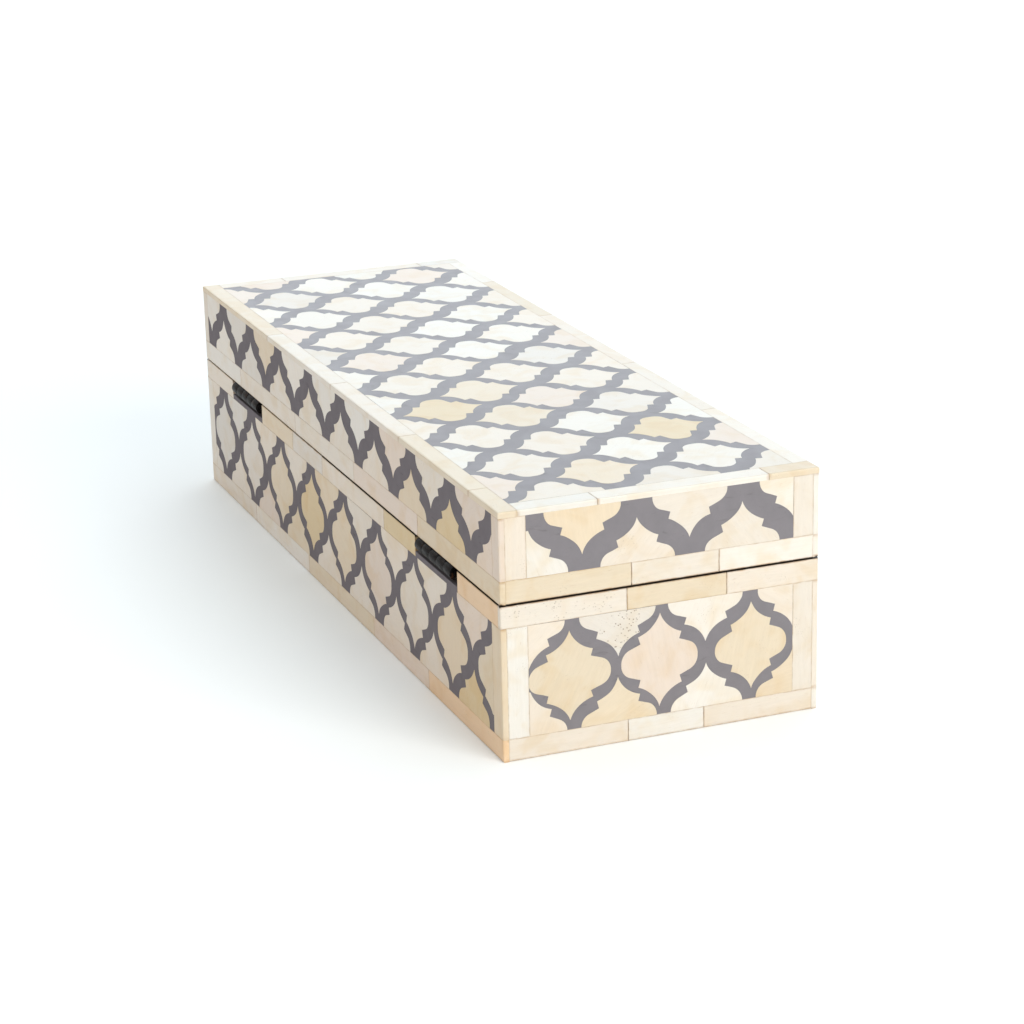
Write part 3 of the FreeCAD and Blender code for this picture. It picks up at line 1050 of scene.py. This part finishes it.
class INLAIDBOX_OT_bone_strips(InlaidBoxOperator):
    """Frame every side with butt-jointed strips of bone"""

    bl_idname = "inlaid_box.bone_strips"
    bl_label = "Bone Strips"

    def execute(self, context):
        build_sides(build_strips, bone_finish)
        return {"FINISHED"}


class INLAIDBOX_OT_resin_ground(InlaidBoxOperator):
    """Pour the grey resin round the tiles"""

    bl_idname = "inlaid_box.resin_ground"
    bl_label = "Resin Ground"

    def execute(self, context):
        build_sides(build_resin, resin_finish)
        return {"FINISHED"}


class INLAIDBOX_OT_wooden_boards(InlaidBoxOperator):
    """Finish the wooden boards of the base and the lid"""

    bl_idname = "inlaid_box.wooden_boards"
    bl_label = "Wooden Boards"

    def execute(self, context):
        for number, (body, name) in enumerate(BOARDS):
            node = f"{body}_{name}"
            along = "y" if name in ("left_wall", "right_wall") else "x"
            shift = (7.3 * number, 3.1 * number, 5.7 * number)
            material = wood_finish(node, along, shift)
            board = softened_copy(node, body, sizes().board_edge, material)
            # The hinge mortises in the back wall get painted shade
            if node == "base_back_wall":
                paint_mortise_shade(board)
        return {"FINISHED"}


def paint_mortise_shade(board):
    """Paints shade on the cut faces round each hinge leaf with a near-black finish."""
    board.data.materials.append(mortise_shade_finish())
    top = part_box("base_back_wall")[1].z
    reach = Vector((6, 8, 8)) * MM
    for name in HINGES:
        low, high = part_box(f"{name}_hinge_base_leaf")
        for face in board.data.polygons:
            near = all(low[i] - reach[i] < face.center[i] < high[i] + reach[i] for i in range(3))
            if near and face.center.z < top - sizes().board_edge / 2:
                face.material_index = 1


class INLAIDBOX_OT_hinges(InlaidBoxOperator):
    """Finish the leaves and pins of both hinges"""

    bl_idname = "inlaid_box.hinges"
    bl_label = "Hinges"

    def execute(self, context):
        material = iron_finish()
        size = sizes()
        for name in HINGES:
            for body in ("base", "lid"):
                softened_copy(
                    f"{name}_hinge_{body}_leaf", body, size.leaf_edge, material, 3
                )
            softened_copy(f"{name}_hinge_pin", "base", size.pin_edge, material, 3)
        return {"FINISHED"}


class INLAIDBOX_OT_screws(InlaidBoxOperator):
    """Finish the hinge screws"""

    bl_idname = "inlaid_box.screws"
    bl_label = "Screws"

    def execute(self, context):
        material = screw_finish()
        for name in HINGES:
            for body in ("base", "lid"):
                softened_copy(
                    f"{name}_hinge_{body}_screws", body, sizes().screw_edge, material
                )
        return {"FINISHED"}


class INLAIDBOX_OT_stage(InlaidBoxOperator):
    """Lay a pale floor, set soft lights and place the camera"""

    bl_idname = "inlaid_box.stage"
    bl_label = "Stage"

    def execute(self, context):
        make_floor()
        make_lights()
        make_camera()
        context.scene.view_settings.view_transform = "Standard"
        return {"FINISHED"}


def make_floor():
    """A wide pale floor under the box."""
    f = Finish("pale_floor")
    f.shade(Base_Color=(*colours().floor, 1.0), Roughness=0.75)
    half = 6.0
    mesh = bpy.data.meshes.new("floor")
    corners = [(-half, -half, 0), (half, -half, 0), (half, half, 0), (-half, half, 0)]
    mesh.from_pydata(corners, [], [(0, 1, 2, 3)])
    mesh.materials.append(f.material)
    floor = bpy.data.objects.new("floor", mesh)
    bpy.context.collection.objects.link(floor)


def add_softbox(name, place, aim, width, height, watts, colour):
    """A large soft lamp that points at aim."""
    lamp = bpy.data.lights.new(name, "AREA")
    lamp.shape = "RECTANGLE"
    lamp.size = width
    lamp.size_y = height
    lamp.energy = watts
    lamp.color = colour
    holder = bpy.data.objects.new(name, lamp)
    holder.location = place
    holder.rotation_euler = (Vector(aim) - Vector(place)).to_track_quat("-Z", "Y").to_euler()
    bpy.context.collection.objects.link(holder)


def make_lights():
    """A bright room and an even sky, a lamp beyond the far end that glances off the lid, one
    towards the left end and a warm one towards the hinged back."""
    world = bpy.data.worlds.new("bright_room")
    world.use_nodes = True
    background = world.node_tree.nodes["Background"]
    background.inputs["Color"].default_value = (1.0, 0.89, 0.80, 1.0)
    background.inputs["Strength"].default_value = 0.54
    bpy.context.scene.world = world
    sky = bpy.data.lights.new("sky", "SUN")
    sky.energy = 1.4
    sky.angle = math.radians(100)
    sky.color = (0.58, 0.85, 1.0)
    holder = bpy.data.objects.new("sky", sky)
    bpy.context.collection.objects.link(holder)
    add_softbox("far_light", (1.5, -0.6, 0.62), (0, 0, 0.05), 1.8, 0.9, 11.0, (0.80, 0.90, 1.0))
    add_softbox("end_light", (-1.5, -0.5, 0.75), (0, 0, 0), 1.0, 1.0, 19.0, (1.0, 0.98, 0.95))
    add_softbox("side_light", (-0.2, 1.6, 0.35), (0, 0, 0.03), 1.6, 0.6, 3.2, (1.0, 0.74, 0.68))


def make_camera():
    """A long lens that looks along the box, past its left end and its hinged back."""
    data = bpy.data.cameras.new("camera")
    data.lens = 99.7
    data.sensor_width = 36.0
    camera = bpy.data.objects.new("camera", data)
    place = Vector((-0.8610, 0.3219, 0.3237))
    aim = Vector((-0.04415, 0.00434, 0.0381))
    tilt = math.radians(-1.33)
    turn = (aim - place).to_track_quat("-Z", "Y").to_matrix() @ Matrix.Rotation(tilt, 3, "Z")
    camera.location = place
    camera.rotation_euler = turn.to_euler()
    bpy.context.collection.objects.link(camera)
    bpy.context.scene.camera = camera


class INLAIDBOX_PT_panel(bpy.types.Panel):
    """The steps, in the order in which the box is made"""

    bl_idname = "INLAIDBOX_PT_panel"
    bl_label = "Inlaid Box"
    bl_space_type = "VIEW_3D"
    bl_region_type = "UI"
    bl_category = "Inlaid Box"

    def draw(self, context):
        layout = self.layout
        for step in STEPS:
            layout.operator(step.bl_idname)
        for title, group in (("Sizes", sizes()), ("Colours", colours())):
            box = layout.box()
            box.label(text=title)
            for key in group.__annotations__:
                box.prop(group, key)


STEPS = (
    INLAIDBOX_OT_bone_tiles,
    INLAIDBOX_OT_resin_ground,
    INLAIDBOX_OT_bone_strips,
    INLAIDBOX_OT_wooden_boards,
    INLAIDBOX_OT_hinges,
    INLAIDBOX_OT_screws,
    INLAIDBOX_OT_stage,
)
CLASSES = (INLAIDBOX_PG_sizes, INLAIDBOX_PG_colours, *STEPS, INLAIDBOX_PT_panel)


def register():
    for cls in CLASSES:
        bpy.utils.register_class(cls)
    bpy.types.Scene.inlaid_box_sizes = PointerProperty(type=INLAIDBOX_PG_sizes)
    bpy.types.Scene.inlaid_box_colours = PointerProperty(type=INLAIDBOX_PG_colours)


def unregister():
    del bpy.types.Scene.inlaid_box_colours
    del bpy.types.Scene.inlaid_box_sizes
    for cls in reversed(CLASSES):
        bpy.utils.unregister_class(cls)


def main():
    """Makes the whole box and its stage."""
    register()
    bpy.ops.inlaid_box.bone_tiles()
    bpy.ops.inlaid_box.resin_ground()
    bpy.ops.inlaid_box.bone_strips()
    bpy.ops.inlaid_box.wooden_boards()
    bpy.ops.inlaid_box.hinges()
    bpy.ops.inlaid_box.screws()
    bpy.ops.inlaid_box.stage()


if __name__ == "__main__":
    main()
